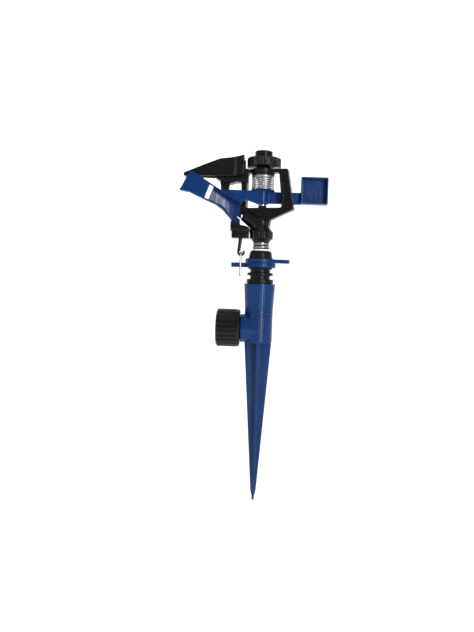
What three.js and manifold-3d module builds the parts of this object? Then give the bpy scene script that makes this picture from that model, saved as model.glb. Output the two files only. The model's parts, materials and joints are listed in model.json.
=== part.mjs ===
// Impact sprinkler on a ground spike, in millimetres, +Z up.
// The origin is on the turning axis of the head at the soil line. The nozzle and the hose nut point to -X.
import * as THREE from 'three';
import { mergeVertices } from 'three/addons/utils/BufferGeometryUtils.js';
import Module from 'manifold-3d';

const wasm = await Module();
wasm.setup();

// ---------------------------------------------------------------- clearances and finish
const gap = 0.3;                // between pieces that rest on each other or are screwed together
const runningGap = 0.35;        // round a shaft that turns in a bore
const roundSides = 30;

// ---------------------------------------------------------------- ground spike and hose inlet
const tubeTop = 62.7;
const tubeWall = 1.45;          // outside the crests of the inner thread
const tubeFlare = 1.4;          // how much wider the tube's mouth is
const tubeStep = 38;            // height where the tube starts to widen
const tubeFoot = 13;            // where the tube ends and the blades start
const threadRadius = 10.45;     // 1/2 inch pipe thread, over its crests
const tubeRadius = threadRadius + tubeWall;
const tubeMouthRadius = tubeRadius + tubeFlare;
const threadDepth = 14.7;
const floorThickness = 4;
const spikeDepth = 122.5;
const bladeHalfWidth = 11.6;
const bladeTipHalfWidth = 2.3;
const bladeTipLength = 8.5;
const bladeThickness = 2.2;
const inletHeight = 24.4;
const inletBossRadius = 12;
const inletBossEnd = 15.3;      // distances along -X from the turning axis
const stubRadius = 9;
const stubEnd = 24;
const stubBore = 6.5;
const flangeThickness = 2;
const washerThickness = 2.5;
const nutLength = 20.2;
const nutRadius = 16;
const nutRibDepth = 0.9;
const nutRibs = 24;
const nutThreadRadius = 12.1;   // 3/4 inch hose thread, over its inner crests
const flangePlay = 0.7;         // between the flange and the nut's crests
const flangeRadius = nutThreadRadius - flangePlay;
const nutChamfer = 0.9;
const nutRimLength = 2.8;

// ---------------------------------------------------------------- bearing sleeve and stop rings
const sleeveFlangeRadius = 11.5;
const sleeveFlangeHeight = 3.5;
const sleeveRootRadius = 8.6;
const sleeveRibRadius = 11;
const sleeveRibHeight = 2.5;
const sleeveGroove = 3;         // height of the grooves above and below the rib
const ringSeatRadius = 9.5;
const seatShoulder = 0.9;       // how far the shoulder and the collar stand out over the seat
const shoulderHeight = 1;
const collarHeight = 6.2;
const collarTopRadius = 9.1;
const ringRadius = 13.1;
const lowerRingHeight = 3.9;
const upperRingHeight = 3.3;
const ringSlit = 1.6;
const tabReach = 24.9;
const tabHalfWidth = 2.6;

// ---------------------------------------------------------------- swivel nipple and its washers
const nippleRadius = 6;
const lowWasherWidth = 1.6;
const topWasherWidth = 1.2;
const bodyFootWidth = 0.8;
const lowWasherRadius = nippleRadius + lowWasherWidth;
const topWasherRadius = nippleRadius + topWasherWidth;
const bodyFootRadius = nippleRadius + bodyFootWidth;
const nippleBore = 4.2;
const nippleScrewRadius = 5.4;
const nippleScrewLength = 9.4;
const nippleFlangeHeight = 3.1;
const thrustRadius = 9;
const thrustPlay = 0.6;         // between the flange and the bore below the thread
const lowerBoreRadius = thrustRadius + thrustPlay;
const sealThickness = 1.1;
const slipThickness = 0.9;
const lowWasherHeight = 1.3;
const neckSpringHeight = 4;
const neckSpringTurns = 3;
const neckWire = 0.4;           // radius of the wire
const topWasherHeight = 0.8;

// ---------------------------------------------------------------- head body, heights above its own foot
const bulgeRadius = 9.6;
const bulgeBottom = 3.6;
const bulgeTop = 9.4;
const neckRadius = 6.4;
const neckTop = 18.5;
const waterBore = 4;
const nozzleTilt = THREE.MathUtils.degToRad(34);
const nozzleOrigin = 13.2;
const nozzleTipRadius = 5.2;
const nozzleRootRadius = 7;
const nozzleBore = 2.9;
const insertLength = 8;
const jetRadius = 1.7;
const bridgeTurn = THREE.MathUtils.degToRad(-15);
const bridgeHalf = 3.5;         // half the thickness of the bridge
const windowFloor = 29.7;
const windowLeft = -13.3;
const windowRight = 14.5;
const windowFlare = 3;          // the window and its right post lean out by this much at the bottom
const barHeight = 3;
const rightPost = 7.4;
const lowerCornerReach = 27.7;
const lowerCornerHeight = 28.3;
const leftPost = 5.1;
const postRecess = 2.2;
const postRim = 1.6;
const bossRise = 1.6;
const pinBossRadius = 3.6;
const topBossRadius = 10;
const topBossHeight = 3.6;

// ---------------------------------------------------------------- hammer arm and its spring
const pinRadius = 1.5;
const pinRoot = 22.7;
const pinWasherHeight = 0.9;
const pinWasherRadius = 3.4;
const hubRadius = 4.7;
const hubHeight = 11.3;
const seatHeight = 0.7;
const coilRadius = 9.25;
const seatRim = 0.95;           // how far the seat and the cap stand out past the coil
const capRim = 0.65;
const seatRadius = coilRadius + seatRim;
const capRadius = coilRadius + capRim;
const coilWire = 0.45;
const coilTurns = 7;
const coilHeight = 11.5;
const capHeight = 1.7;
const barThickness = 3.3;
const barSetBack = 0.5;         // how far each half of the bar stands off the middle plane
const rightBarDepth = 10.1;
const weightStart = 32.5;
const weightEnd = 55.4;
const weightHeight = 22.9;
const weightDepth = 8.4;
const weightWall = 1.2;
const plate = 1.5;              // walls of the spoon
const spoonFront = -7;
const spoonBack = 5.4;
const spoonInner = 18.8;        // radius at which the spoon clears the nozzle
const lowLeftPlay = 1;
const nozzlePlay = 3.6;
const lowLeftReach = spoonInner - lowLeftPlay;        // lower left of the bridge, inside the spoon's path
const nozzleReach = spoonInner - nozzlePlay;          // from the axis to the middle of the tip
const footThickness = 1.5;

// ---------------------------------------------------------------- deflector, knob and trip
const hoodHalf = 7;
const hoodTipHalf = 3.5;
const hoodWall = 1.6;
const panelStart = -23.8;       // sunk panel on each side of the deflector, before its hinge
const panelEnd = -20;
const panelDepth = 0.7;
const hoodTip = -67.9;
const hingeRise = 5.1;          // above the top of the bridge
const hingePinRadius = 1.2;
const lugRadius = 3;
const shelfDrop = 8;            // from the top of the bridge to the shelf below the deflector
const knobDiscRadius = 14.4;
const hingePlay = 3.6;          // from the disc to the deflector's hinge
const hoodRearPlay = 1.6;
const hingeX = -knobDiscRadius - hingePlay;
const hoodRear = hingeX + hoodRearPlay;
const knobOffset = 0.5;         // the disc is a cam, this far off the turning axis
const knobDiscHeight = 7.5;
const knobLift = 1.5;
const knobTopRadius = 7.6;
const knobTopHeight = 6.2;
const knobRibs = 36;
const knobPostRadius = 3;
const knobPostHeight = 9.1;
const screwRadius = 1.1;
const screwHeadRadius = 3.4;
const screwHeadHeight = 2;
const tripPivot = 10.2;
const tripPinRadius = 1.2;
const tripLeft = -26.4;
const tripBottom = 3.1;
const tripPlay = 0.8;           // between the block and the body
const tripRight = -bulgeRadius - tripPlay;
const tripHorn = 16.8;
const tripNotch = 15.2;
const tripFront = -7.5;
const tripBack = 3.5;
const footClearance = 0.5;
const rodX = -17.5;
const rodY = -1.7;
const rodRadius = 1.6;
const hookX = -16.9;
const hookHeight = -8.6;
const hookRadius = 2.4;
const hookWire = 1.1;
const rodEndRadius = 1.4;
const wireRadius = 0.9;
const hookPlay = 0.2;
const wireBend = hookWire + wireRadius + hookPlay;    // radius of the bend over the hook
const wireOverhang = 8;         // how far the wire hangs below the lower stop ring

// ---------------------------------------------------------------- colours
const finish = (color, roughness, metalness) =>
  new THREE.MeshStandardMaterial({ color, roughness, metalness });
const bluePlastic = () => finish(0x143c96, 0.38, 0);
const blackPlastic = () => finish(0x1b1b1d, 0.42, 0);
const steel = () => finish(0xc4c6c8, 0.25, 1);
const whiteNylon = () => finish(0xeceae4, 0.45, 0);
const rubber = () => finish(0x202022, 0.75, 0);

// ---------------------------------------------------------------- solids
const X = new THREE.Vector3(1, 0, 0);
const Y = new THREE.Vector3(0, 1, 0);
const Z = new THREE.Vector3(0, 0, 1);
const uprightBasis = new THREE.Matrix4().makeBasis(X, Z, Y.clone().negate());
const sidewaysBasis = new THREE.Matrix4().makeBasis(Y, Z, X);

function solid(geometry) {
  const bare = geometry.index ? geometry.toNonIndexed() : geometry.clone();
  bare.deleteAttribute('normal');
  bare.deleteAttribute('uv');
  const merged = mergeVertices(bare, 1e-4);
  const corners = merged.index.array;
  const triangles = [];
  for (let i = 0; i < corners.length; i += 3) {
    const [a, b, c] = corners.slice(i, i + 3);
    if (a !== b && b !== c && c !== a) triangles.push(a, b, c);
  }
  const vertProperties = new Float32Array(merged.attributes.position.array);
  return new wasm.Manifold(new wasm.Mesh({ numProp: 3, vertProperties,
    triVerts: new Uint32Array(triangles) }));
}

const join = (first, ...others) => others.reduce((whole, other) => whole.add(other), first);
const cut = (first, ...tools) => tools.reduce((whole, tool) => whole.subtract(tool), first);

function geometryOf(body) {
  const mesh = body.getMesh();
  const geometry = new THREE.BufferGeometry();
  geometry.setAttribute('position', new THREE.BufferAttribute(mesh.vertProperties, 3));
  geometry.setIndex(new THREE.BufferAttribute(mesh.triVerts, 1));
  geometry.computeVertexNormals();
  return geometry;
}

function extruded(points, depth) {
  const shape = new THREE.Shape(points.map(([x, y]) => new THREE.Vector2(x, y)));
  return new THREE.ExtrudeGeometry(shape, { depth, bevelEnabled: false });
}

// An outline in x and y, raised from one height to another.
function alongZ(points, from, to) {
  return solid(extruded(points, to - from).translate(0, 0, from));
}

// An outline in x and z, between two y values.
function alongY(points, from, to) {
  return solid(extruded(points, to - from).applyMatrix4(uprightBasis).translate(0, to, 0));
}

// An outline in y and z, between two x values.
function alongX(points, from, to) {
  return solid(extruded(points, to - from).applyMatrix4(sidewaysBasis).translate(from, 0, 0));
}

function box(x0, x1, y0, y1, z0, z1) {
  const geometry = new THREE.BoxGeometry(x1 - x0, y1 - y0, z1 - z0);
  return solid(geometry.translate((x0 + x1) / 2, (y0 + y1) / 2, (z0 + z1) / 2));
}

// A profile of radius and height, from the bottom up the outside, turned about Z.
function turned(profile, sides = roundSides) {
  const points = profile.map(([radius, height]) => new THREE.Vector2(radius, height));
  return solid(new THREE.LatheGeometry(points, sides).applyMatrix4(uprightBasis));
}

function disc(radius, from, to, sides = roundSides) {
  return turned([[0, from], [radius, from], [radius, to], [0, to]], sides);
}

function ring(inner, outer, from, to, sides = roundSides) {
  return turned([[inner, from], [outer, from], [outer, to], [inner, to], [inner, from]], sides);
}

// A round bar between two points, which may taper.
function bar(start, end, startRadius, endRadius = startRadius, sides = roundSides) {
  const from = new THREE.Vector3(...start);
  const to = new THREE.Vector3(...end);
  const direction = to.clone().sub(from);
  const geometry = new THREE.CylinderGeometry(endRadius, startRadius, direction.length(), sides);
  geometry.applyQuaternion(new THREE.Quaternion().setFromUnitVectors(Y, direction.clone().normalize()));
  const middle = from.add(to).multiplyScalar(0.5);
  return solid(geometry.translate(middle.x, middle.y, middle.z));
}

function circle(radius, sides) {
  return Array.from({ length: sides }, (_, i) => {
    const angle = (i / sides) * 2 * Math.PI;
    return [radius * Math.cos(angle), radius * Math.sin(angle)];
  });
}

// A round wire along a curve.
function wireAlong(curve, radius, steps, sides = 8) {
  const shape = new THREE.Shape(circle(radius, sides).map(([x, y]) => new THREE.Vector2(x, y)));
  const options = { steps: Math.round(steps), extrudePath: curve, bevelEnabled: false };
  return new THREE.ExtrudeGeometry(shape, options);
}

class Coil extends THREE.Curve {
  constructor(radius, turns, bottom, top) {
    super();
    Object.assign(this, { radius, turns, bottom, top });
  }

  getPoint(t, target = new THREE.Vector3()) {
    const angle = t * this.turns * 2 * Math.PI;
    const height = this.bottom + (this.top - this.bottom) * t;
    return target.set(this.radius * Math.cos(angle), this.radius * Math.sin(angle), height);
  }
}

// An outline with each corner replaced by an arc-like bend.
function rounded(points, radius, steps = 3) {
  const smooth = [];
  points.forEach((point, i) => {
    const corner = new THREE.Vector2(...point);
    const before = new THREE.Vector2(...points[(i + points.length - 1) % points.length]).sub(corner);
    const after = new THREE.Vector2(...points[(i + 1) % points.length]).sub(corner);
    const reach = Math.min(radius, before.length() * 0.45, after.length() * 0.45);
    const start = before.setLength(reach).add(corner);
    const end = after.setLength(reach).add(corner);
    const bend = new THREE.QuadraticBezierCurve(start, corner, end);
    bend.getPoints(steps).forEach((p) => smooth.push([p.x, p.y]));
  });
  return smooth;
}

function ribbed(radius, depth, ribs) {
  const outline = [];
  const count = Math.round(ribs);
  for (let i = 0; i < count; i += 1) {
    [[0.05, 1], [0.5, 1], [0.62, 0], [0.93, 0]].forEach(([share, out]) => {
      const angle = ((i + share) / count) * 2 * Math.PI;
      const reach = radius - depth * (1 - out);
      outline.push([reach * Math.cos(angle), reach * Math.sin(angle)]);
    });
  }
  return outline;
}

// Turns an upright solid so that its height runs along -X, at the height of the hose inlet.
function alongInlet(body) {
  return body.rotate([0, -90, 0]).translate([0, 0, inletHeight]);
}

// ---------------------------------------------------------------- levels
const flangeTop = tubeTop + gap + sleeveFlangeHeight;
const ribTop = flangeTop + sleeveGroove + sleeveRibHeight;
const shoulderTop = ribTop + sleeveGroove + shoulderHeight;
const lowerRing = shoulderTop + gap;
const upperRing = lowerRing + lowerRingHeight + gap;
const collar = upperRing + upperRingHeight + gap;
const sleeveTop = collar + collarHeight;
const sleeveFoot = tubeTop - threadDepth;
const nippleFlangeTop = sleeveFoot - sealThickness - slipThickness - 3 * gap;
const lowWasher = sleeveTop + gap;
const neckSpring = lowWasher + lowWasherHeight + gap;
const topWasher = neckSpring + neckSpringHeight + gap;
const headFoot = topWasher + topWasherHeight + gap;

// Heights above the foot of the head.
const bossTop = windowFloor + bossRise;
const hubFoot = bossTop + pinWasherHeight + 2 * gap;
const hubTop = hubFoot + hubHeight;
const seatTop = hubTop + seatHeight;
const capFoot = seatTop + coilHeight + 2 * gap;
const topBossFoot = capFoot + capHeight + gap;
const bridgeTop = topBossFoot + topBossHeight;
const windowTop = bridgeTop - barHeight;
const shelf = bridgeTop - shelfDrop;
const hingeHeight = bridgeTop + hingeRise;
const knobFoot = bridgeTop + gap;
const knobDisc = bridgeTop + knobLift;
const knobShoulder = knobDisc + knobDiscHeight;
const knobTop = knobShoulder + knobTopHeight;
const knobPostTop = bridgeTop + knobPostHeight;
const footBottom = tripHorn + footClearance;

// ---------------------------------------------------------------- ground spike
function spikeBody() {
  const outside = turned([[0, tubeFoot], [tubeRadius, tubeFoot], [tubeRadius, tubeStep],
    [tubeMouthRadius, tubeTop], [0, tubeTop]]);
  const outline = [[-bladeHalfWidth, tubeFoot + 1], [-bladeTipHalfWidth, bladeTipLength - spikeDepth],
    [0, -spikeDepth], [bladeTipHalfWidth, bladeTipLength - spikeDepth], [bladeHalfWidth, tubeFoot + 1]];
  const half = bladeThickness / 2;
  const boss = alongInlet(disc(inletBossRadius, 0, inletBossEnd));
  const stub = alongInlet(disc(stubRadius, 0, stubEnd));
  const flange = alongInlet(disc(flangeRadius, stubEnd - flangeThickness, stubEnd));
  const body = join(outside, boss, stub, flange, alongY(outline, -half, half), alongX(outline, -half, half));
  const sleeveBore = disc(threadRadius + gap, nippleFlangeTop - nippleFlangeHeight - 2, tubeTop + 1);
  const lowerBore = disc(lowerBoreRadius, tubeFoot + floorThickness, tubeTop);
  return cut(body, sleeveBore, lowerBore, alongInlet(disc(stubBore, 0, stubEnd + 1)));
}

function hoseWasher() {
  const start = stubEnd + gap;
  return alongInlet(ring(stubBore, nutThreadRadius - 2 * gap, start, start + washerThickness));
}

function hoseNut() {
  const start = inletBossEnd + gap;
  const end = start + nutLength;
  const plain = nutRadius - nutRibDepth;
  const core = turned([[0, start], [nutRadius - nutChamfer, start], [nutRadius, start + nutChamfer],
    [nutRadius, start + nutRimLength], [plain, start + nutRimLength], [plain, end - nutChamfer],
    [plain - nutChamfer, end], [0, end]], nutRibs * 2);
  const ribs = alongZ(ribbed(nutRadius, nutRibDepth + 0.3, nutRibs), start + nutRimLength - 0.2,
    end - nutChamfer);
  const neck = disc(stubRadius + runningGap, start - 1, end + 1);
  const socket = disc(nutThreadRadius, stubEnd - flangeThickness - gap, end + 1);
  return alongInlet(cut(join(core, ribs), neck, socket));
}

// ---------------------------------------------------------------- bearing sleeve and its rings
function bearingSleeve() {
  const shoulder = ringSeatRadius + seatShoulder;
  const bore = nippleRadius + runningGap;
  return turned([[bore, sleeveFoot], [threadRadius, sleeveFoot], [threadRadius, tubeTop + gap],
    [sleeveFlangeRadius, tubeTop + gap], [sleeveFlangeRadius, flangeTop], [sleeveRootRadius, flangeTop],
    [sleeveRootRadius, flangeTop + sleeveGroove], [sleeveRibRadius, flangeTop + sleeveGroove],
    [sleeveRibRadius, ribTop], [sleeveRootRadius, ribTop], [sleeveRootRadius, ribTop + sleeveGroove],
    [shoulder, ribTop + sleeveGroove], [shoulder, shoulderTop], [ringSeatRadius, shoulderTop],
    [ringSeatRadius, collar], [shoulder, collar], [collarTopRadius, sleeveTop], [bore, sleeveTop],
    [bore, sleeveFoot]]);
}

// A split ring with one finger, which points to -X for a side of -1.
function stopRing(height, thickness, side) {
  const inner = ringSeatRadius + runningGap;
  const finger = rounded([[inner + 1, -tabHalfWidth], [tabReach, -tabHalfWidth],
    [tabReach, tabHalfWidth], [inner + 1, tabHalfWidth]].map(([x, y]) => [side * x, side * y]), 1.4);
  const slit = box(Math.min(0, -side * 2 * ringRadius), Math.max(0, -side * 2 * ringRadius),
    -ringSlit / 2, ringSlit / 2, height - 1, height + thickness + 1);
  const band = ring(inner, ringRadius, height, height + thickness);
  const whole = join(band, alongZ(finger, height, height + thickness));
  return cut(whole, slit);
}

function swivelNipple() {
  const foot = nippleFlangeTop - nippleFlangeHeight;
  return turned([[nippleBore, foot], [thrustRadius, foot], [thrustRadius, nippleFlangeTop],
    [nippleRadius, nippleFlangeTop], [nippleRadius, headFoot - gap], [nippleScrewRadius, headFoot - gap],
    [nippleScrewRadius, headFoot + nippleScrewLength], [nippleBore, headFoot + nippleScrewLength],
    [nippleBore, foot]]);
}

function neckWasher(radius, height, thickness) {
  return ring(nippleRadius + runningGap, radius, height, height + thickness);
}

function neckCoil() {
  const radius = nippleRadius + 2 * gap + neckWire;
  const bottom = neckSpring + neckWire;
  const curve = new Coil(radius, neckSpringTurns, bottom, neckSpring + neckSpringHeight - neckWire);
  return wireAlong(curve, neckWire, neckSpringTurns * 12, 6);
}

// ---------------------------------------------------------------- head body, in heights above its foot
const nozzleAxis = (distance) =>
  [-distance * Math.cos(nozzleTilt), 0, nozzleOrigin + distance * Math.sin(nozzleTilt)];
const nozzleLength = nozzleReach / Math.cos(nozzleTilt);
const turnedBridge = (body) => body.rotate([0, 0, THREE.MathUtils.radToDeg(bridgeTurn)]);

function bridge() {
  const outerRight = windowRight + rightPost;
  const outerLeft = windowLeft - leftPost;
  const outline = rounded([[neckRadius, nozzleOrigin], [neckRadius + 1.1, neckTop + 0.7],
    [lowerCornerReach, lowerCornerHeight], [outerRight, bridgeTop], [windowLeft - 1.7, bridgeTop],
    [windowLeft - 1.7, shelf], [outerLeft, shelf], [outerLeft + 0.3, windowFloor + 9],
    [-lowLeftReach, windowFloor + 4.5], [-lowLeftReach, windowFloor - 5.5],
    [-lowLeftReach + 3.5, neckTop + 2.5],
    [-neckRadius - 2, neckTop - 1], [-neckRadius, nozzleOrigin]], 0.8);
  const window = rounded([[windowLeft, windowTop], [windowLeft - 0.6, windowFloor],
    [windowRight + windowFlare, windowFloor], [windowRight + windowFlare, windowFloor + 3.8],
    [windowRight, windowTop]], 1.8);
  const panel = [[windowRight + postRim, windowTop - postRim],
    [windowRight + windowFlare + postRim, windowFloor + 3],
    [lowerCornerReach - postRim - 0.6, lowerCornerHeight + 1.8],
    [outerRight - postRim, windowTop - postRim + 1]];
  const frontPanel = alongY(panel, -bridgeHalf - 1, postRecess - bridgeHalf);
  const backPanel = alongY(panel, bridgeHalf - postRecess, bridgeHalf + 1);
  const holes = alongY(window, -bridgeHalf - 1, bridgeHalf + 1);
  return turnedBridge(cut(alongY(outline, -bridgeHalf, bridgeHalf), holes, frontPanel, backPanel));
}

// The bracket that carries the deflector, with the anvil that the arm strikes.
function bracket() {
  const back = bridgeHalf + 1.4;
  const block = alongY([[-24, shelf - 3.6], [-12.5, shelf - 3.6], [-12.5, bridgeTop], [-22, bridgeTop],
    [-24, bridgeTop - 3]], -lugRadius - 0.3, back);
  const shelfPlate = alongY([[-40.2, shelf - 0.9], [-36.5, shelf - 3.1], [-27.6, shelf - 5.4],
    [-18.4, shelf - 2.1],
    [-13, shelf - 2.1], [-13, shelf], [-39.8, shelf]], -5, 5);
  const anvil = alongY([[-35.7, hubTop + 0.2], [-29.1, hubTop - 3.6], [-28.3, shelf - 2],
    [-36.7, shelf - 2]],
    -barSetBack + gap, 4.5);
  const lug = alongY([[hingeX - lugRadius, bridgeTop - 3], [hingeX + lugRadius, bridgeTop - 3],
    [hingeX + lugRadius, hingeHeight], [hingeX - lugRadius, hingeHeight]], -lugRadius - 0.3,
    lugRadius + 0.3);
  const eye = bar([hingeX, -lugRadius - 0.3, hingeHeight], [hingeX, lugRadius + 0.3, hingeHeight],
    lugRadius);
  return join(block, shelfPlate, anvil, lug, eye);
}

function headBody() {
  const stem = turned([[0, 0], [bodyFootRadius, 0], [bodyFootRadius + 0.6, 1.2], [bulgeRadius, bulgeBottom],
    [bulgeRadius, bulgeTop], [neckRadius + 0.1, bulgeTop + 4.2], [neckRadius, neckTop],
    [neckRadius - 1.4, neckTop + 2.2],
    [0, neckTop + 3]]);
  const spout = bar(nozzleAxis(0), nozzleAxis(nozzleLength), nozzleRootRadius, nozzleTipRadius);
  const tripBoss = bar([-neckRadius, 0, tripPivot], [tripRight + gap, 0, tripPivot], 2.8);
  const pinBoss = disc(pinBossRadius, windowFloor - 4, bossTop);
  const topBoss = disc(topBossRadius, topBossFoot, bridgeTop);
  const knobPost = disc(knobPostRadius, bridgeTop - 1, knobPostTop);
  const body = join(stem, spout, tripBoss, bridge(), bracket(), pinBoss, topBoss, knobPost);
  const screwed = disc(nippleScrewRadius + gap, -1, nippleScrewLength + gap);
  const water = disc(waterBore, 0, nozzleOrigin + 1);
  const jetWay = bar(nozzleAxis(0), nozzleAxis(nozzleLength + 2), nozzleBore);
  const pinHole = disc(pinRadius + gap, pinRoot - gap, bridgeTop - 2 * gap + 0.2);
  const screwHole = disc(screwRadius + gap, bridgeTop + 2, knobPostTop + 1);
  const hingeHole = bar([hingeX, -9, hingeHeight], [hingeX, 9, hingeHeight], hingePinRadius + gap,
    undefined, 24);
  const tripHole = bar([tripRight - 1, 0, tripPivot], [tripRight + 4, 0, tripPivot], tripPinRadius + gap,
    undefined, 24);
  return cut(body, screwed, water, jetWay, pinHole, screwHole, hingeHole, tripHole);
}

function nozzleInsert() {
  const start = nozzleAxis(nozzleLength - insertLength);
  const outside = bar(start, nozzleAxis(nozzleLength + 0.4), nozzleBore - gap);
  const jet = bar(nozzleAxis(nozzleLength - insertLength - 1), nozzleAxis(nozzleLength + 1),
    nozzleBore - 2 * gap, jetRadius);
  return cut(outside, jet);
}

// ---------------------------------------------------------------- hammer arm
// Points along the spoon, as distance from the axis and height from the top of the arm.
const spoonTop = [[17.9, -10.6], [41.4, 2.7], [61.5, 15.4]];
const spoonEnd = [70.2, -2];
const spoonLow = [[62.6, -3.1], [48.4, -9.6], [39.1, -13.5], [34.3, -16.6]];
const spoonThroat = [27.4, -25];
const slotTop = [[44.9, 3.4], [42.2, 2.4]];
const slotBottom = [[48.9, -7.6], [46.2, -8.8]];

const fromArm = ([distance, height]) => [-distance, hubTop + height];
const strip = (points, thickness) => {
  const upper = points.map(fromArm);
  return [...upper, ...upper.slice().reverse().map(([x, z]) => [x, z + thickness])];
};

// A curved wall in plan, from a list of distances and y values, as thick as the plate.
function planWall(points, bottom, top) {
  const curve = new THREE.SplineCurve(points.map(([distance, y]) => new THREE.Vector2(-distance, y)));
  const face = curve.getPoints(8);
  return alongZ([...face, ...face.slice().reverse().map((p) => ({ x: p.x, y: p.y + plate }))]
    .map(({ x, y }) => [x, y]), bottom, top);
}

function spoon() {
  const throat = fromArm(spoonThroat);
  const footX = [-26.3, -18.6];
  const lowest = footBottom + footThickness;
  const gussetTop = [-21.9, lowest + 2.9];
  const wedgeStart = spoonInner - 1;
  const topPlate = alongY(strip(spoonTop.slice(0, 2), -plate), spoonFront + 0.8, spoonBack);
  const topRim = alongY(strip(spoonTop.slice(1), -plate), spoonFront, spoonFront + plate);
  const lowPlate = alongY([...spoonLow.slice(2).map(fromArm), [footX[0], lowest],
    [footX[0] + plate + 0.3, lowest],
    [throat[0] + plate + 1, throat[1] + 0.6], fromArm([spoonLow[3][0] - 1, spoonLow[3][1] + plate + 0.6]),
    fromArm([spoonLow[2][0], spoonLow[2][1] + plate])], spoonFront + 0.8, spoonBack);
  const lowRim = alongY(strip([spoonEnd, ...spoonLow.slice(0, 3)], plate), spoonFront, -1);
  const wedgeFace = alongY([fromArm(spoonTop[0]), fromArm(spoonTop[1]), fromArm(slotTop[1]),
    fromArm(slotBottom[1]), ...spoonLow.slice(2).map(fromArm), [footX[0], lowest],
    [gussetTop[0], gussetTop[1]], [gussetTop[0] + 0.5, gussetTop[1] + 0.9], [-wedgeStart, lowest + 1.7]],
  spoonFront, 9);
  const wedge = planWall([[wedgeStart, 3.9], [27, 3.2], [37, 0.7], [48, -3.1]], 0, bridgeTop)
    .intersect(wedgeFace);
  const outerFace = [slotTop[0], spoonTop[2], spoonEnd, spoonLow[0], spoonLow[1]].map(fromArm);
  const outerPlate = alongY([...outerFace, fromArm(slotBottom[0])], spoonFront, spoonFront + plate);
  const curl = planWall([[52, spoonFront], [58, -5.2], [63, -2.6], [67, 1.6]], 0, shelf - 0.2)
    .intersect(alongY(outerFace, spoonFront, 9));
  const foot = box(footX[0], footX[1], -3.5, 4, footBottom, lowest);
  const gusset = alongY([[footX[0], lowest - 0.1], [footX[1], lowest - 0.1], [footX[1], lowest + 0.3],
    gussetTop], -3.5, 0);
  const whole = join(topPlate, topRim, lowPlate, lowRim, wedge, outerPlate, curl, foot, gusset);
  return cut(whole, disc(spoonInner - gap, 0, hubTop));
}

function hammerArm() {
  const hub = join(disc(hubRadius, hubFoot, hubTop + 0.1), disc(seatRadius, hubTop, seatTop));
  const rightBar = box(2, weightStart + 1, barSetBack + 0.1, barSetBack + barThickness,
    hubTop - rightBarDepth, hubTop);
  const leftBar = alongY([[-36.5, hubTop], [-36.5, hubTop - 1.8], [-17.9, hubTop - 11], [-13.7, hubTop - 8],
    [-4.5, hubFoot], [-2, hubFoot], [-2, hubTop]], -barSetBack - barThickness, -barSetBack);
  const back = barSetBack + barThickness;
  const weight = box(weightStart, weightEnd, back - weightDepth, back, hubTop - rightBarDepth,
    hubTop - rightBarDepth + weightHeight);
  const hollow = box(weightStart + weightWall, weightEnd - weightWall, back - weightDepth - 1,
    back - weightWall,
    hubTop - rightBarDepth + weightWall, hubTop - rightBarDepth + weightHeight - weightWall);
  const body = join(hub, rightBar, leftBar, cut(weight, hollow), spoon());
  return cut(body, disc(pinRadius + gap, hubFoot - 1, seatTop + 1));
}

function armCoil() {
  const foot = seatTop + gap + coilWire;
  return wireAlong(new Coil(coilRadius, coilTurns, foot, foot + coilHeight - 2 * coilWire), coilWire,
    coilTurns * 14, 6);
}

// ---------------------------------------------------------------- deflector, knob and trip
function deflectorHood() {
  const rise = (x, height) => [x, bridgeTop + height];
  const bottom = shelf + gap;
  const side = [[hoodTip + 0.6, bottom], [-25.5, bottom + 0.3], [-17.6, bottom + 2.4],
    [hoodRear, bottom + 2.9],
    rise(hoodRear, 11), rise(-27.3, 8.4), rise(-36.6, 7.4), rise(-48, 3.1), [hoodTip, bottom + 2.6]];
  const plan = (inset, rear) => [[hoodTip + 1.2 * inset, inset - hoodTipHalf], [-24.3, inset - hoodHalf],
    [rear, inset - hoodHalf], [rear, hoodHalf - inset], [-24.3, hoodHalf - inset],
    [hoodTip + 1.2 * inset, hoodTipHalf - inset]];
  const hollowSide = [[hoodTip + 3, bottom - 1], [hoodRear + 1, bottom - 1],
    rise(hoodRear + 1, 11 - hoodWall),
    rise(-27.3, 8.4 - hoodWall), rise(-36.6, 7.4 - hoodWall), rise(-48, 3.1 - hoodWall),
    [hoodTip + 4, bottom + 1.6]];
  const outside = alongY(side, -9, 9).intersect(alongZ(plan(0, hoodRear), 0, 2 * bridgeTop));
  const inside = alongY(hollowSide, -9, 9).intersect(alongZ(plan(hoodWall, hoodRear + 1), 0, 2 * bridgeTop));
  const hole = bar([hingeX, -9, hingeHeight], [hingeX, 9, hingeHeight], hingePinRadius + gap, undefined, 24);
  const skin = hoodHalf - panelDepth;
  const frontPanel = box(panelStart, panelEnd, -9, -skin, bottom - 1, 2 * bridgeTop);
  const backPanel = box(panelStart, panelEnd, skin, 9, bottom - 1, 2 * bridgeTop);
  return cut(outside, inside, hole, frontPanel, backPanel);
}

function distanceKnob() {
  const star = ribbed(knobDiscRadius, 0.5, knobRibs).map(([x, y]) => [x + knobOffset, y]);
  const foot = disc(knobPostRadius + 3, knobFoot, knobDisc + 1);
  const top = disc(knobTopRadius, knobShoulder - 1, knobTop);
  const bore = disc(knobPostRadius + runningGap, knobFoot - 1, knobPostTop + gap);
  const screwWay = disc(screwRadius + gap, knobFoot, knobTop + 1);
  const well = disc(screwHeadRadius + gap, knobTop - screwHeadHeight - 1.4, knobTop + 1);
  return cut(join(alongZ(star, knobDisc, knobShoulder), foot, top), bore, screwWay, well);
}

function knobScrew() {
  const seat = knobTop - screwHeadHeight - 1.4 + gap;
  return turned([[0, bridgeTop + 2 + gap], [screwRadius, bridgeTop + 2 + gap], [screwRadius, seat],
    [screwHeadRadius, seat], [screwHeadRadius, seat + screwHeadHeight], [0, seat + screwHeadHeight]], 24);
}

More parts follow.
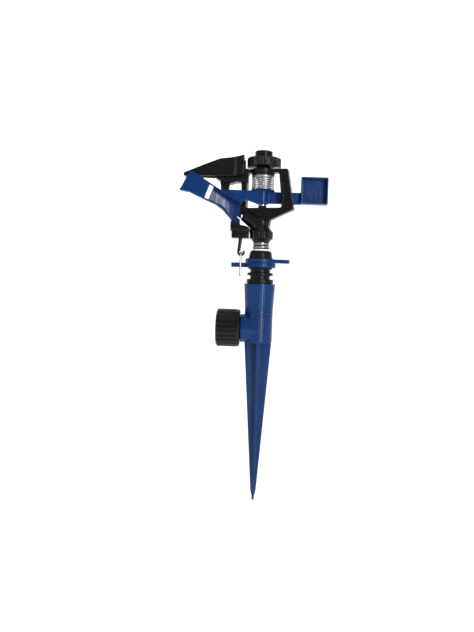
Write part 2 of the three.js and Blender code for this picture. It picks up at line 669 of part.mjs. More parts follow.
class Hook extends THREE.Curve {
  getPoint(t, target = new THREE.Vector3()) {
    const angle = THREE.MathUtils.degToRad(150 + t * 240);
    return target.set(hookX + hookRadius * Math.cos(angle), rodY, hookHeight + hookRadius * Math.sin(angle));
  }
}

function tripLever() {
  const side = [[tripLeft + 1.3, tripBottom], [tripRight, tripBottom], [tripRight, tripPivot + 2],
    [-13.5, tripPivot + 3.3], [-18.2, tripPivot + 4], [-18.6, tripHorn], [tripLeft, tripHorn],
    [tripLeft, tripPivot + 0.8],
    [tripLeft + 1, tripPivot + 0.6]];
  const block = alongY(side, tripFront, tripBack);
  const notch = box(tripLeft - 1, tripRight + 1, tripFront + 1.7, tripBack + 1, tripNotch, tripHorn + 1);
  const hole = bar([tripLeft - 1, 0, tripPivot], [tripRight + 1, 0, tripPivot], tripPinRadius + gap,
    undefined, 24);
  const rod = bar([rodX, rodY, tripBottom + 1], [hookX - 1.9, rodY, hookHeight + 0.8],
    rodRadius, rodEndRadius, 16);
  return join(cut(block, notch, hole), rod, solid(wireAlong(new Hook(), hookWire, 12)));
}

// The stop wire hangs over the foot of the hook, and its leg ends below the lower stop ring.
class StopWire extends THREE.Curve {
  constructor(bottom) {
    super();
    const centre = hookHeight - hookRadius;
    const bend = wireBend * Math.PI;
    this.centre = centre;
    this.back = 2;
    this.leg = centre - bottom;
    this.total = this.back + bend + this.leg;
  }

  getPoint(t, target = new THREE.Vector3()) {
    const travel = t * this.total;
    const bend = wireBend * Math.PI;
    if (travel < this.back) return target.set(hookX, rodY + wireBend, this.centre - this.back + travel);
    if (travel > this.back + bend) {
      return target.set(hookX, rodY - wireBend, this.centre - (travel - this.back - bend));
    }
    const angle = (travel - this.back) / wireBend;
    return target.set(hookX, rodY + wireBend * Math.cos(angle), this.centre + wireBend * Math.sin(angle));
  }
}

const stopWire = () => wireAlong(new StopWire(lowerRing - wireOverhang - headFoot), wireRadius, 28);

// ---------------------------------------------------------------- the whole sprinkler
const group = new THREE.Group();
const head = new THREE.Group();
head.position.z = headFoot;
group.add(head);

function place(parent, name, shape, material) {
  const geometry = shape.isBufferGeometry ? shape : geometryOf(shape);
  const mesh = new THREE.Mesh(geometry, material);
  mesh.name = name;
  parent.add(mesh);
}

place(group, 'spike_body', spikeBody(), bluePlastic());
place(group, 'hose_nut', hoseNut(), blackPlastic());
place(group, 'hose_washer', hoseWasher(), rubber());
place(group, 'bearing_sleeve', bearingSleeve(), blackPlastic());
place(group, 'lower_stop_ring', stopRing(lowerRing, lowerRingHeight, -1), bluePlastic());
place(group, 'upper_stop_ring', stopRing(upperRing, upperRingHeight, 1), bluePlastic());
place(group, 'swivel_nipple', swivelNipple(), blackPlastic());
place(group, 'nipple_slip_washer', neckWasher(thrustRadius, nippleFlangeTop + gap, slipThickness),
  whiteNylon());
place(group, 'nipple_seal_washer',
  neckWasher(thrustRadius, nippleFlangeTop + 2 * gap + slipThickness, sealThickness), rubber());
place(group, 'neck_low_washer', neckWasher(lowWasherRadius, lowWasher, lowWasherHeight), whiteNylon());
place(group, 'neck_spring', neckCoil(), steel());
place(group, 'neck_top_washer', neckWasher(topWasherRadius, topWasher, topWasherHeight), steel());

place(head, 'head_body', headBody(), blackPlastic());
place(head, 'nozzle_insert', nozzleInsert(), blackPlastic());
place(head, 'pivot_pin', disc(pinRadius, pinRoot, bridgeTop - 3 * gap, 24), steel());
place(head, 'pivot_washer', ring(pinRadius + gap, pinWasherRadius, bossTop + gap,
  bossTop + gap + pinWasherHeight, 24), steel());
place(head, 'hammer_arm', hammerArm(), bluePlastic());
place(head, 'arm_spring', armCoil(), steel());
place(head, 'spring_cap', ring(pinRadius + gap, capRadius, capFoot, capFoot + capHeight), blackPlastic());
place(head, 'deflector_hood', deflectorHood(), blackPlastic());
place(head, 'deflector_pin', bar([hingeX, -hoodHalf, hingeHeight], [hingeX, hoodHalf, hingeHeight],
  hingePinRadius, undefined, 24), blackPlastic());
place(head, 'distance_knob', distanceKnob(), blackPlastic());
place(head, 'knob_screw', knobScrew(), steel());
place(head, 'trip_lever', tripLever(), blackPlastic());
place(head, 'trip_pin', bar([tripLeft - 0.4, 0, tripPivot], [tripRight + 3.5, 0, tripPivot],
  tripPinRadius, undefined, 24), steel());
place(head, 'stop_wire', stopWire(), steel());

export default group;
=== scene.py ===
"""Impact sprinkler on a ground spike: moulded pieces, wires and finishes round the engineering frame."""
import json
import math

import bmesh
import bpy
from bpy.props import FloatProperty, FloatVectorProperty, IntProperty, PointerProperty
from mathutils import Matrix, Vector


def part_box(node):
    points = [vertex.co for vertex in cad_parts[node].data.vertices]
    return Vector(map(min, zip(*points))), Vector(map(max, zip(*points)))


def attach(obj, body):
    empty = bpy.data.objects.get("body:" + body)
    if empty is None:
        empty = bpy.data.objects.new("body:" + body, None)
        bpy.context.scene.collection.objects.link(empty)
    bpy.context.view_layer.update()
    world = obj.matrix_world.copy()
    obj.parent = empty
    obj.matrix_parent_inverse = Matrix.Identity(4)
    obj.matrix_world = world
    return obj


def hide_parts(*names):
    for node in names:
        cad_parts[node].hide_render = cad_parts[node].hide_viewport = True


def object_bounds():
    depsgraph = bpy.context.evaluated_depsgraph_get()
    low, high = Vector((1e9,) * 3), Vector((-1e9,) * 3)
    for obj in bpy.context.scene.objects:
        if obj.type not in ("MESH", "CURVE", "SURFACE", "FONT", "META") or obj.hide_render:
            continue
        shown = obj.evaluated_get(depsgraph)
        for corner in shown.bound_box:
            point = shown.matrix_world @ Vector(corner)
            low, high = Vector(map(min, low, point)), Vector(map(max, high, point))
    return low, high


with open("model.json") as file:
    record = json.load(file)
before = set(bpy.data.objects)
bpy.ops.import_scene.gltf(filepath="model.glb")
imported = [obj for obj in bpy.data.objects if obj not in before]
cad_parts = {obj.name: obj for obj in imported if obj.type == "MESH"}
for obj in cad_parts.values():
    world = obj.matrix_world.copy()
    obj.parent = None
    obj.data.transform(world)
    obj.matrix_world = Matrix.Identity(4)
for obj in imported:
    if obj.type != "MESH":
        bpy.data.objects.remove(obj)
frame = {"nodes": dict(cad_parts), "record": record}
FRAME_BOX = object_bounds()

bl_info = {
    "name": "Impact Sprinkler",
    "version": (1, 0, 0),
    "blender": (4, 5, 0),
    "location": "View3D > Sidebar > Sprinkler",
    "description": "Builds the moulded pieces, wires and finishes of an impact sprinkler on a ground spike",
    "category": "Add Mesh",
}

BODY_OF = {node: body for body, nodes in frame["record"]["behaviour"]["bodies"].items() for node in nodes}
SLOT_OF = {part["node"]: part["material_slot"] for part in frame["record"]["subparts"]}


# ---------------------------------------------------------------- sizes and colours a user may change
class SprinklerSizes(bpy.types.PropertyGroup):
    """Mesh fineness and small details of the sprinkler."""

    voxel: FloatProperty(name="Moulding grain", description="Cell size used to blend a moulding's edges",
                         default=0.00036, min=0.0002, unit="LENGTH")
    edge_passes: IntProperty(name="Edge softness", description="Smoothing passes over a moulding's edges",
                             default=3, min=0)
    turned_sides: IntProperty(name="Turned sides", description="Sides of a turned piece", default=96, min=24)
    wire_sides: IntProperty(name="Wire sides", description="Sides of a wire's section", default=12, min=6)
    body_ribs: IntProperty(name="Body ribs", description="Upright ribs round the swelling of the body",
                           default=12, min=0)
    fillet: FloatProperty(name="Fillet", description="Edge radius of the turned pieces", default=0.00035,
                          min=0.0, unit="LENGTH")


class SprinklerColours(bpy.types.PropertyGroup):
    """Colours of the sprinkler's finishes."""

    blue: FloatVectorProperty(name="Blue plastic", description="Colour of the blue mouldings",
                              subtype="COLOR", default=(0.0006, 0.022, 0.098), min=0.0, max=1.0)
    black: FloatVectorProperty(name="Black plastic", description="Colour of the black mouldings",
                               subtype="COLOR", default=(0.0034, 0.0034, 0.0035), min=0.0, max=1.0)
    steel: FloatVectorProperty(name="Steel", description="Colour of the wires, pins and washers",
                               subtype="COLOR", default=(0.42, 0.42, 0.44), min=0.0, max=1.0)
    nylon: FloatVectorProperty(name="Nylon", description="Colour of the white washers",
                               subtype="COLOR", default=(0.80, 0.79, 0.76), min=0.0, max=1.0)


# ---------------------------------------------------------------- materials
def new_material(name):
    """A node material under a name of its own, as the frame's materials carry the slots' names."""
    material = bpy.data.materials.new(name)
    if material.name != name:
        raise ValueError("a material called " + name + " is already there")
    material.use_nodes = True
    nodes, links = material.node_tree.nodes, material.node_tree.links
    return material, nodes, links, nodes["Principled BSDF"]


def noise(nodes, links, scale, detail=3.0, stretch=None):
    """A noise texture in object coordinates, which may be stretched along an axis."""
    coordinates = nodes.new("ShaderNodeTexCoord")
    texture = nodes.new("ShaderNodeTexNoise")
    texture.inputs["Scale"].default_value = scale
    texture.inputs["Detail"].default_value = detail
    source = coordinates.outputs["Object"]
    if stretch:
        mapping = nodes.new("ShaderNodeMapping")
        mapping.inputs["Scale"].default_value = stretch
        links.new(source, mapping.inputs["Vector"])
        source = mapping.outputs["Vector"]
    links.new(source, texture.inputs["Vector"])
    return texture


def spread(nodes, links, source, low, high, start=0.3, end=0.7):
    """Maps a grey value to the range between low and high."""
    ramp = nodes.new("ShaderNodeMapRange")
    ramp.inputs["From Min"].default_value = start
    ramp.inputs["From Max"].default_value = end
    ramp.inputs["To Min"].default_value = low
    ramp.inputs["To Max"].default_value = high
    links.new(source, ramp.inputs["Value"])
    return ramp.outputs["Result"]


def tinted(nodes, links, source, colour, darker, lighter):
    """A colour that wanders between a darker and a lighter share of itself."""
    ramp = nodes.new("ShaderNodeValToRGB")
    ramp.color_ramp.elements[0].position = 0.3
    ramp.color_ramp.elements[1].position = 0.7
    ramp.color_ramp.elements[0].color = (*[c * darker for c in colour], 1.0)
    ramp.color_ramp.elements[1].color = (*[min(1.0, c * lighter) for c in colour], 1.0)
    links.new(source, ramp.inputs["Fac"])
    return ramp.outputs["Color"]


def bumped(nodes, links, shader, heights):
    """Chains bump nodes, each from a (height output, strength, distance) triple."""
    normal = None
    for height, strength, distance in heights:
        bump = nodes.new("ShaderNodeBump")
        bump.inputs["Strength"].default_value = strength
        bump.inputs["Distance"].default_value = distance
        links.new(height, bump.inputs["Height"])
        if normal:
            links.new(normal, bump.inputs["Normal"])
        normal = bump.outputs["Normal"]
    links.new(normal, shader.inputs["Normal"])


def plastic(name, colour, rough, grain=0.00002, wander=(0.86, 1.16)):
    """Moulded plastic: slow colour drift, fine grain, shallow sink marks and small scuffs."""
    material, nodes, links, shader = new_material(name)
    drift = noise(nodes, links, 38.0, 4.0)
    fine = noise(nodes, links, 2600.0, 2.0)
    waves = noise(nodes, links, 140.0, 2.0)
    scuffs = noise(nodes, links, 420.0, 6.0, (1.0, 1.0, 0.16))
    links.new(tinted(nodes, links, drift.outputs["Fac"], colour, *wander), shader.inputs["Base Color"])
    roughness = spread(nodes, links, scuffs.outputs["Fac"], rough - 0.05, rough + 0.10)
    links.new(roughness, shader.inputs["Roughness"])
    bumped(nodes, links, shader, [(waves.outputs["Fac"], 0.35, 0.00012), (fine.outputs["Fac"], 0.35, grain)])
    shader.inputs["Specular IOR Level"].default_value = 0.20
    return material


def metal(name, colour, rough, stretch=(1.0, 1.0, 1.0)):
    """Drawn or turned steel with faint streaks."""
    material, nodes, links, shader = new_material(name)
    streaks = noise(nodes, links, 900.0, 4.0, stretch)
    drift = noise(nodes, links, 120.0, 2.0)
    links.new(tinted(nodes, links, drift.outputs["Fac"], colour, 0.82, 1.1), shader.inputs["Base Color"])
    roughness = spread(nodes, links, streaks.outputs["Fac"], rough - 0.06, rough + 0.12)
    links.new(roughness, shader.inputs["Roughness"])
    bumped(nodes, links, shader, [(streaks.outputs["Fac"], 0.3, 0.00001)])
    shader.inputs["Metallic"].default_value = 1.0
    return material


def soft_white(name, colour):
    """Natural nylon, slightly translucent."""
    material = plastic(name, colour, 0.42, 0.00001, (0.94, 1.04))
    shader = material.node_tree.nodes["Principled BSDF"]
    shader.inputs["Subsurface Weight"].default_value = 0.15
    shader.inputs["Subsurface Radius"].default_value = (0.001, 0.0008, 0.0006)
    return material


def finish_of(slot):
    """The finish of a material slot, made when a piece first asks for it."""
    colours = bpy.context.scene.sprinkler_colours
    name = "finish_" + slot
    made = {
        "blue_plastic": lambda: plastic(name, colours.blue, 0.22, 0.000006, (0.86, 1.14)),
        "black_plastic": lambda: plastic(name, colours.black, 0.20, 0.000006, (0.75, 1.35)),
        "gloss_black": lambda: plastic(name, colours.black, 0.13, 0.000004, (0.8, 1.3)),
        "steel_wire": lambda: metal(name, colours.steel, 0.30),
        "steel_part": lambda: metal(name, colours.steel, 0.26, (1.0, 1.0, 8.0)),
        "white_nylon": lambda: soft_white(name, colours.nylon),
        "seal_rubber": lambda: plastic(name, (0.012, 0.012, 0.013), 0.66, 0.00002),
    }
    return bpy.data.materials.get(name) or made[slot]()


# ---------------------------------------------------------------- mesh helpers
def finish_piece(obj, node):
    """Gives a piece the finish and slot of the node it stands for, and makes it ride on the node's body."""
    obj.data.materials.clear()
    obj.data.materials.append(finish_of(SLOT_OF[node]))
    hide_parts(node)
    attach(obj, BODY_OF[node])


def add_object(name, mesh):
    """Links a new object that holds a mesh to the scene."""
    obj = bpy.data.objects.new(name, mesh)
    bpy.context.scene.collection.objects.link(obj)
    return obj


def mesh_from(name, build, smooth_angle=32.0):
    """A mesh object from a function that fills a bmesh, smooth but for its sharp edges."""
    work = bmesh.new()
    build(work)
    bmesh.ops.recalc_face_normals(work, faces=work.faces)
    mesh = bpy.data.meshes.new(name)
    work.to_mesh(mesh)
    work.free()
    mesh.shade_smooth()
    mesh.set_sharp_from_angle(angle=math.radians(smooth_angle))
    return add_object(name, mesh)


def filleted(profile, radius, steps=3, closed=False):
    """A profile with its corners rounded by a radius, limited by its shorter side."""
    largest_share = 0.45
    points = [Vector(p) for p in profile]
    count = len(points)
    result = []
    for i, corner in enumerate(points):
        if not closed and i in (0, count - 1):
            result.append(corner)
            continue
        before = points[i - 1] - corner
        after = points[(i + 1) % count] - corner
        reach = min(radius, before.length * largest_share, after.length * largest_share)
        start = corner + before.normalized() * reach
        end = corner + after.normalized() * reach
        for k in range(steps + 1):
            t = k / steps
            result.append(start * (1 - t) ** 2 + corner * 2 * t * (1 - t) + end * t * t)
    return result


def fill_turned(work, profile, sides, place=Matrix()):
    """Turns a closed profile of radius and height about Z. Points on the axis become poles."""
    on_axis = 1e-7
    rings = []
    for point in profile:
        if point[0] < on_axis:
            rings.append([work.verts.new(place @ Vector((0, 0, point[1])))])
            continue
        ring = []
        for k in range(sides):
            angle = 2 * math.pi * k / sides
            around_axis = Vector((point[0] * math.cos(angle), point[0] * math.sin(angle), point[1]))
            ring.append(work.verts.new(place @ around_axis))
        rings.append(ring)
    for low, high in zip(rings, rings[1:] + rings[:1]):
        if len(low) == 1 and len(high) == 1:
            continue
        for k in range(sides):
            n = (k + 1) % sides
            if len(low) == 1:
                work.faces.new((low[0], high[n], high[k]))
            elif len(high) == 1:
                work.faces.new((low[k], low[n], high[0]))
            else:
                work.faces.new((low[k], low[n], high[n], high[k]))


def fill_wire(work, path, radius, sides):
    """Sweeps a round section along a path of points, with domed ends."""
    dome = 0.6
    points = [Vector(p) for p in path]
    tangent = (points[1] - points[0]).normalized()
    side = tangent.orthogonal().normalized()
    rings = []
    for i, point in enumerate(points):
        ahead = points[min(i + 1, len(points) - 1)]
        behind = points[max(i - 1, 0)]
        new_tangent = (ahead - behind).normalized()
        side = (tangent.rotation_difference(new_tangent) @ side).normalized()
        tangent = new_tangent
        other = tangent.cross(side)
        rings.append([work.verts.new(point + radius * (math.cos(a) * side + math.sin(a) * other))
                      for a in (2 * math.pi * k / sides for k in range(sides))])
    for low, high in zip(rings, rings[1:]):
        for k in range(sides):
            n = (k + 1) % sides
            work.faces.new((low[k], low[n], high[n], high[k]))
    for ring, point, way in ((rings[0], points[0], points[0] - points[1]),
                             (rings[-1], points[-1], points[-1] - points[-2])):
        pole = work.verts.new(point + way.normalized() * radius * dome)
        for k in range(sides):
            work.faces.new((ring[k], ring[(k + 1) % sides], pole))


def fill_prism(work, outline, low, high, place=Matrix()):
    """Raises an outline in x and y from one height to another."""
    bottom = [work.verts.new(place @ Vector((x, y, low))) for x, y in outline]
    top = [work.verts.new(place @ Vector((x, y, high))) for x, y in outline]
    work.faces.new(bottom)
    work.faces.new(top)
    for k in range(len(outline)):
        n = (k + 1) % len(outline)
        work.faces.new((bottom[k], bottom[n], top[n], top[k]))


def turned_piece(name, node, profile, place=Matrix(), fillet=None):
    """A turned piece that stands for a CAD node."""
    sizes = bpy.context.scene.sprinkler_sizes
    rounded = filleted(profile, sizes.fillet if fillet is None else fillet, closed=profile[0][0] > 0)
    obj = mesh_from(name, lambda work: fill_turned(work, rounded, sizes.turned_sides, place), 40.0)
    finish_piece(obj, node)
    return obj


def coil_path(radius, low, high, turns, per_turn=40, dead=0.75):
    """Points of a coil whose ends lie flat."""
    count = int(turns * per_turn)
    points = []
    for i in range(count + 1):
        turn = turns * i / count
        share = (min(max(turn - dead, 0.0), turns - 2 * dead)) / (turns - 2 * dead)
        angle = 2 * math.pi * turn
        points.append((radius * math.cos(angle), radius * math.sin(angle), low + (high - low) * share))
    return points


def apply_modifiers(obj):
    """Replaces an object's mesh by the result of its modifiers."""
    graph = bpy.context.evaluated_depsgraph_get()
    mesh = bpy.data.meshes.new_from_object(obj.evaluated_get(graph))
    obj.modifiers.clear()
    old = obj.data
    obj.data = mesh
    bpy.data.meshes.remove(old)


def moulded(name, node, grain=1.0, passes=None, keep=0.5, details=None):
    """A moulding with blended edges: the node's solid with its details, remeshed, eased and thinned."""
    sizes = bpy.context.scene.sprinkler_sizes
    coarse = 1.0
    work = bmesh.new()
    work.from_mesh(frame["nodes"][node].data)
    if details:
        details(work)
    bmesh.ops.recalc_face_normals(work, faces=work.faces)
    mesh = bpy.data.meshes.new(name)
    work.to_mesh(mesh)
    work.free()
    obj = add_object(name, mesh)
    remesh = obj.modifiers.new("grain", "REMESH")
    remesh.mode = "VOXEL"
    remesh.voxel_size = sizes.voxel * grain * coarse
    smooth = obj.modifiers.new("ease", "SMOOTH")
    smooth.factor = 0.5
    smooth.iterations = sizes.edge_passes if passes is None else passes
    if keep < 1.0:
        thin = obj.modifiers.new("thin", "DECIMATE")
        thin.ratio = keep
    apply_modifiers(obj)
    obj.data.shade_smooth()
    finish_piece(obj, node)
    return obj


def around(node):
    """Lowest and highest corner of a node, as vectors."""
    low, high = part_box(node)
    return Vector(low), Vector(high)


# ---------------------------------------------------------------- ground spike and inlet
def spike_details(work):
    """A low step round the tube and a rim round its mouth."""
    sides = bpy.context.scene.sprinkler_sizes.turned_sides
    mouth = around("spike_body")[1].z
    bevel = 0.0004
    step, step_height = mouth - 0.0247, 0.0009
    step_root, step_radius = 0.0112, 0.0121
    fill_turned(work, [(step_root, step - bevel), (step_radius, step), (step_radius, step + step_height),
                       (step_root, step + step_height + bevel)], sides)
    rim_height = 0.0022
    rim_root, rim_radius = 0.0118, 0.01305
    fill_turned(work, [(rim_root, mouth - rim_height), (rim_radius, mouth - rim_height + bevel),
                       (rim_radius, mouth), (rim_root, mouth)], sides)


def build_spike():
    moulded("ground_spike", "spike_body", grain=1.1, keep=0.35, details=spike_details)


def thread_details(work):
    """Inner thread of the nut's socket, as a shallow helical ridge."""
    low, high = around("hose_nut")
    centre = (low + high) / 2
    turns, pitch, per_turn = 4, 0.0018, 48
    radius, ridge, ridge_sides = 0.01215, 0.00045, 8
    first = low.x + 0.001
    path = []
    for i in range(turns * per_turn + 1):
        angle = 2 * math.pi * i / per_turn
        path.append((first + pitch * i / per_turn, centre.y + radius * math.cos(angle),
                     centre.z + radius * math.sin(angle)))
    fill_wire(work, path, ridge, ridge_sides)


def build_nut():
    moulded("swivel_nut", "hose_nut", grain=0.9, passes=4, keep=0.5, details=thread_details)
    low, high = around("hose_washer")
    middle = (low + high) / 2
    place = Matrix.Translation((0, 0, middle.z)) @ Matrix.Rotation(math.radians(-90), 4, "Y")
    bore, outer = 0.0065, (high.z - low.z) / 2
    turned_piece("inlet_washer", "hose_washer", [(bore, -high.x), (outer, -high.x), (outer, -low.x),
                                                 (bore, -low.x)], place)


# ---------------------------------------------------------------- bearing sleeve, rings and neck
def build_sleeve():
    moulded("bearing_sleeve_moulding", "bearing_sleeve", grain=0.65, passes=1, keep=0.5)


def build_stop_rings():
    for name, node in (("stop_ring_left", "lower_stop_ring"), ("stop_ring_right", "upper_stop_ring")):
        moulded(name, node, grain=0.6, passes=3, keep=0.5)


def build_neck():
    low, high = around("swivel_nipple")
    foot, top = low.z, high.z
    flange, flange_top = 0.009, foot + 0.0031
    bore, spigot, outer = 0.0042, 0.0054, 0.006
    gap = 0.0003
    shoulder = around("head_body")[0].z - gap
    turned_piece("nipple_tube", "swivel_nipple", [(bore, foot), (flange, foot), (flange, flange_top),
                 (outer, flange_top), (outer, shoulder), (spigot, shoulder), (spigot, top), (bore, top)])
    washer_bore, washer_edge = 0.00635, 0.0002
    for name, node in (("nipple_slip", "nipple_slip_washer"), ("nipple_seal", "nipple_seal_washer"),
                       ("neck_washer_white", "neck_low_washer"), ("neck_washer_steel", "neck_top_washer")):
        low, high = around(node)
        turned_piece(name, node, [(washer_bore, low.z), (high.x, low.z), (high.x, high.z),
                                  (washer_bore, high.z)], fillet=washer_edge)
    low, high = around("neck_spring")
    wire = 0.0004
    close_pitch = 2.1 * wire
    path = neck_path(high.x - wire, low.z + wire, high.z - wire, close_pitch)
    sides = bpy.context.scene.sprinkler_sizes.wire_sides
    spring = mesh_from("neck_spring_wire", lambda work: fill_wire(work, path, wire, sides), 60.0)
    finish_piece(spring, "neck_spring")


def neck_path(radius, low, high, pitch, per_turn=48):
    """Points of a spring with two close turns, a half turn that rises and most of a turn above it."""
    turns, close_turns, rising = 3.3, 2.0, 0.5
    points = []
    for i in range(int(turns * per_turn) + 1):
        turn = i / per_turn
        closed = low + pitch * min(turn, close_turns)
        rise = min(max(turn - close_turns, 0.0), rising) / rising
        angle = 2 * math.pi * turn
        points.append((radius * math.cos(angle), radius * math.sin(angle), closed + (high - closed) * rise))
    return points


# ---------------------------------------------------------------- head body
def body_details(work):
    """Upright ribs on the swelling of the body."""
    foot = around("head_body")[0].z
    count = bpy.context.scene.sprinkler_sizes.body_ribs
    root, tip = 0.0088, 0.01005
    root_half, tip_half = 0.0006, 0.0005
    outline = [(root, -root_half), (tip, -tip_half), (tip, tip_half), (root, root_half)]
    rib_foot, rib_top = foot + 0.0032, foot + 0.0096
    for k in range(count):
        place = Matrix.Rotation(2 * math.pi * (k + 0.5) / count, 4, "Z")
        fill_prism(work, outline, rib_foot, rib_top, place)


def build_head():
    moulded("head_moulding", "head_body", grain=0.75, passes=2, keep=0.4, details=body_details)
    moulded("jet_insert", "nozzle_insert", grain=0.6, passes=3)


def build_arm():
    moulded("hammer_arm_moulding", "hammer_arm", grain=0.75, passes=2, keep=0.4)
    low, high = around("pivot_pin")
    radius = high.x
    turned_piece("arm_pin", "pivot_pin", [(0, low.z), (radius, low.z), (radius, high.z), (0, high.z)])
    bore, washer_edge = 0.0018, 0.0002
    low, high = around("pivot_washer")
    turned_piece("arm_washer", "pivot_washer", [(bore, low.z), (high.x, low.z), (high.x, high.z),
                                                (bore, high.z)], fillet=washer_edge)
    low, high = around("spring_cap")
    inset, rise = 0.0004, 0.0005
    turned_piece("coil_cap", "spring_cap", [(bore, low.z), (high.x - inset, low.z), (high.x, low.z + rise),
                                            (high.x, high.z), (bore, high.z)])


def build_arm_spring():
    low, high = around("arm_spring")
    wire, turns, flat_turns = 0.00045, 8.0, 0.8
    path = coil_path(high.x - wire, low.z + wire, high.z - wire, turns, dead=flat_turns)
    sides = bpy.context.scene.sprinkler_sizes.wire_sides
    spring = mesh_from("arm_coil", lambda work: fill_wire(work, path, wire, sides), 60.0)
    finish_piece(spring, "arm_spring")


# ---------------------------------------------------------------- deflector, knob and trip
def build_deflector():
    moulded("deflector_moulding", "deflector_hood", grain=0.75, passes=2, keep=0.4)
    low, high = around("deflector_pin")
    middle = (low + high) / 2
    radius = (high.x - low.x) / 2
    place = Matrix.Translation((middle.x, 0, middle.z)) @ Matrix.Rotation(math.radians(-90), 4, "X")
    turned_piece("deflector_hinge_pin", "deflector_pin", [(0, low.y), (radius, low.y), (radius, high.y),
                                                         (0, high.y)], place)


def build_knob():
    moulded("distance_knob_moulding", "distance_knob", grain=0.6, passes=3, keep=0.5)
    moulded("knob_fixing_screw", "knob_screw", grain=0.5, passes=3)


def trip_details(work):
    """A barrel along the pin and a thin ridge below it, on the front of the lever's block."""
    low, high = around("trip_lever")
    pin_low, pin_high = around("trip_pin")
    pivot = (pin_low.z + pin_high.z) / 2
    left, right = low.x + 0.0016, high.x - 0.001
    front = low.y + 0.0004
    barrel, ridge, ridge_drop = 0.0011, 0.0006, 0.0044
    steps = 8
    sides = bpy.context.scene.sprinkler_sizes.wire_sides
    for height, radius in ((pivot, barrel), (pivot - ridge_drop, ridge)):
        path = [(left + (right - left) * k / steps, front, height) for k in range(steps + 1)]
        fill_wire(work, path, radius, sides)


def build_trip():
    moulded("trip_lever_moulding", "trip_lever", grain=0.7, passes=2, keep=0.5, details=trip_details)
    low, high = around("trip_pin")
    middle = (low + high) / 2
    radius = (high.z - low.z) / 2
    place = Matrix.Translation((0, middle.y, middle.z)) @ Matrix.Rotation(math.radians(90), 4, "Y")
    turned_piece("trip_hinge_pin", "trip_pin", [(0, low.x), (radius, low.x), (radius, high.x), (0, high.x)],
                 place)


def build_stop_wire():
    low, high = around("stop_wire")
    radius = (high.x - low.x) / 2
    x = (low.x + high.x) / 2
    front, back = low.y + radius, high.y - radius
    centre_y = (front + back) / 2
    bend = (back - front) / 2
    crown = high.z - radius - bend
    tail, tail_steps, steps = 0.002, 4, 16
    foot = low.z + radius * 0.4
    path = [(x, back, crown - tail + tail * k / tail_steps) for k in range(tail_steps)]
    path += [(x, centre_y + bend * math.cos(a), crown + bend * math.sin(a))
             for a in (math.pi * k / steps for k in range(steps + 1))]
    path += [(x, front, crown + (foot - crown) * k / steps) for k in range(1, steps + 1)]
    sides = bpy.context.scene.sprinkler_sizes.wire_sides
    wire = mesh_from("stop_wire_leg", lambda work: fill_wire(work, path, radius, sides), 60.0)
    finish_piece(wire, "stop_wire")


# ---------------------------------------------------------------- stage
def area_light(name, place, target, size, power):
    """A rectangular white light that faces a target."""
    light = bpy.data.lights.new(name, "AREA")
    light.shape = "RECTANGLE"
    light.size, light.size_y = size
    light.energy = power
    obj = bpy.data.objects.new(name, light)
    obj.location = place
    obj.rotation_euler = (Vector(target) - Vector(place)).to_track_quat("-Z", "Y").to_euler()
    bpy.context.scene.collection.objects.link(obj)


def build_sweep():
    """Plain pale floor that curves up behind the sprinkler."""
    floor = FRAME_BOX[0][2] - 0.0005
    front, bend_start, bend, wall = -2.0, 1.2, 0.6, 3.0
    half_width, steps = 3.0, 16
    profile = [(front, floor), (bend_start, floor)]
    profile += [(bend_start + bend * math.sin(a), floor + bend * (1 - math.cos(a)))
                for a in (math.pi / 2 * k / steps for k in range(1, steps + 1))]
    profile.append((bend_start + bend, floor + wall))

    def fill(work):
        left = [work.verts.new((-half_width, y, z)) for y, z in profile]
        right = [work.verts.new((half_width, y, z)) for y, z in profile]
        for k in range(len(profile) - 1):
            work.faces.new((left[k], right[k], right[k + 1], left[k + 1]))

    sweep = mesh_from("backdrop", fill, 60.0)
    material, _, _, shader = new_material("backdrop_paper")
    shader.inputs["Base Color"].default_value = (0.93, 0.93, 0.93, 1.0)
    shader.inputs["Roughness"].default_value = 0.9
    shader.inputs["Emission Color"].default_value = (1.0, 1.0, 1.0, 1.0)
    shader.inputs["Emission Strength"].default_value = 0.5
    sweep.data.materials.append(material)


def build_camera():
    camera = bpy.data.cameras.new("camera")
    camera.lens = 29.3
    camera.shift_x = -0.036
    camera.shift_y = -0.0522
    obj = bpy.data.objects.new("camera", camera)
    obj.matrix_world = (Matrix.Translation((0.0, -0.44, 0.0633)) @ Matrix.Rotation(math.radians(90), 4, "X")
                        @ Matrix.Rotation(math.radians(1.9), 4, "Z"))
    bpy.context.scene.collection.objects.link(obj)
    bpy.context.scene.camera = obj


def build_lights():
    middle = (0.0, 0.0, 0.06)
    area_light("key", (0.30, -0.64, 0.16), middle, (0.05, 0.50), 4.5)
    area_light("fill", (-0.70, -0.50, 0.25), middle, (0.20, 0.8), 0.3)
    area_light("top", (0.0, -0.15, 0.95), middle, (0.5, 0.5), 0.6)
    world = bpy.data.worlds.new("studio")
    world.use_nodes = True
    background = world.node_tree.nodes["Background"]
    background.inputs["Color"].default_value = (1.0, 1.0, 1.0, 1.0)
    background.inputs["Strength"].default_value = 0.45
    bpy.context.scene.world = world
    bpy.context.scene.view_settings.view_transform = "Standard"


# ---------------------------------------------------------------- operators
class SPRINKLER_OT_stage(bpy.types.Operator):
    """Add the camera, the lights and the pale floor"""

    bl_idname = "sprinkler.stage"
    bl_label = "Stage"
    bl_options = {"REGISTER", "UNDO"}

    def execute(self, context):
        build_camera()
        build_lights()
        build_sweep()
        return {"FINISHED"}


class SPRINKLER_OT_spike(bpy.types.Operator):
    """Add the blue ground spike with its side inlet"""

    bl_idname = "sprinkler.spike"
    bl_label = "Ground Spike"
    bl_options = {"REGISTER", "UNDO"}

    def execute(self, context):
        build_spike()
        return {"FINISHED"}


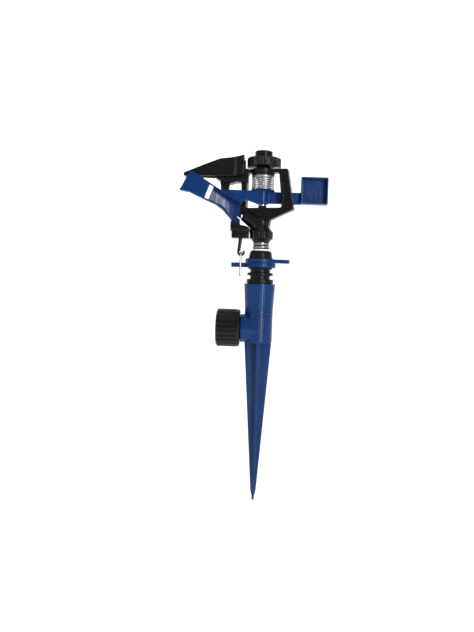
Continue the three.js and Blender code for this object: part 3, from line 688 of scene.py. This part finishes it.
class SPRINKLER_OT_nut(bpy.types.Operator):
    """Add the ribbed swivel nut and its washer"""

    bl_idname = "sprinkler.nut"
    bl_label = "Hose Nut"
    bl_options = {"REGISTER", "UNDO"}

    def execute(self, context):
        build_nut()
        return {"FINISHED"}


class SPRINKLER_OT_sleeve(bpy.types.Operator):
    """Add the bearing sleeve"""

    bl_idname = "sprinkler.sleeve"
    bl_label = "Bearing Sleeve"
    bl_options = {"REGISTER", "UNDO"}

    def execute(self, context):
        build_sleeve()
        return {"FINISHED"}


class SPRINKLER_OT_stop_rings(bpy.types.Operator):
    """Add the two stop rings"""

    bl_idname = "sprinkler.stop_rings"
    bl_label = "Stop Rings"
    bl_options = {"REGISTER", "UNDO"}

    def execute(self, context):
        build_stop_rings()
        return {"FINISHED"}


class SPRINKLER_OT_neck(bpy.types.Operator):
    """Add the nipple, its washers and its spring"""

    bl_idname = "sprinkler.neck"
    bl_label = "Swivel Neck"
    bl_options = {"REGISTER", "UNDO"}

    def execute(self, context):
        build_neck()
        return {"FINISHED"}


class SPRINKLER_OT_head(bpy.types.Operator):
    """Add the black head body with its bridge and the jet insert"""

    bl_idname = "sprinkler.head"
    bl_label = "Head Body"
    bl_options = {"REGISTER", "UNDO"}

    def execute(self, context):
        build_head()
        return {"FINISHED"}


class SPRINKLER_OT_arm(bpy.types.Operator):
    """Add the hammer arm with its pin, washer, cap and spring"""

    bl_idname = "sprinkler.arm"
    bl_label = "Hammer Arm"
    bl_options = {"REGISTER", "UNDO"}

    def execute(self, context):
        build_arm()
        build_arm_spring()
        return {"FINISHED"}


class SPRINKLER_OT_deflector(bpy.types.Operator):
    """Add the deflector hood and its hinge pin"""

    bl_idname = "sprinkler.deflector"
    bl_label = "Deflector"
    bl_options = {"REGISTER", "UNDO"}

    def execute(self, context):
        build_deflector()
        return {"FINISHED"}


class SPRINKLER_OT_knob(bpy.types.Operator):
    """Add the distance knob and its screw"""

    bl_idname = "sprinkler.knob"
    bl_label = "Distance Knob"
    bl_options = {"REGISTER", "UNDO"}

    def execute(self, context):
        build_knob()
        return {"FINISHED"}


class SPRINKLER_OT_trip(bpy.types.Operator):
    """Add the trip lever, its pin and the stop wire"""

    bl_idname = "sprinkler.trip"
    bl_label = "Trip Lever"
    bl_options = {"REGISTER", "UNDO"}

    def execute(self, context):
        build_trip()
        build_stop_wire()
        return {"FINISHED"}


OPERATORS = (SPRINKLER_OT_stage, SPRINKLER_OT_spike, SPRINKLER_OT_nut, SPRINKLER_OT_sleeve,
             SPRINKLER_OT_stop_rings, SPRINKLER_OT_neck, SPRINKLER_OT_head, SPRINKLER_OT_arm,
             SPRINKLER_OT_deflector, SPRINKLER_OT_knob, SPRINKLER_OT_trip)


class SPRINKLER_PT_panel(bpy.types.Panel):
    """Lists the sizes, the colours and a button for each piece."""

    bl_label = "Sprinkler"
    bl_space_type = "VIEW_3D"
    bl_region_type = "UI"
    bl_category = "Sprinkler"

    def draw(self, context):
        for group in (context.scene.sprinkler_sizes, context.scene.sprinkler_colours):
            for name in group.__annotations__:
                self.layout.prop(group, name)
        for operator in OPERATORS:
            self.layout.operator(operator.bl_idname)


CLASSES = (SprinklerSizes, SprinklerColours, *OPERATORS, SPRINKLER_PT_panel)


def register():
    for cls in CLASSES:
        bpy.utils.register_class(cls)
    bpy.types.Scene.sprinkler_sizes = PointerProperty(type=SprinklerSizes)
    bpy.types.Scene.sprinkler_colours = PointerProperty(type=SprinklerColours)


def unregister():
    del bpy.types.Scene.sprinkler_colours
    del bpy.types.Scene.sprinkler_sizes
    for cls in reversed(CLASSES):
        bpy.utils.unregister_class(cls)


def main():
    register()
    for operator in OPERATORS:
        group, name = operator.bl_idname.split(".")
        getattr(getattr(bpy.ops, group), name)()


if __name__ == "__main__":
    main()
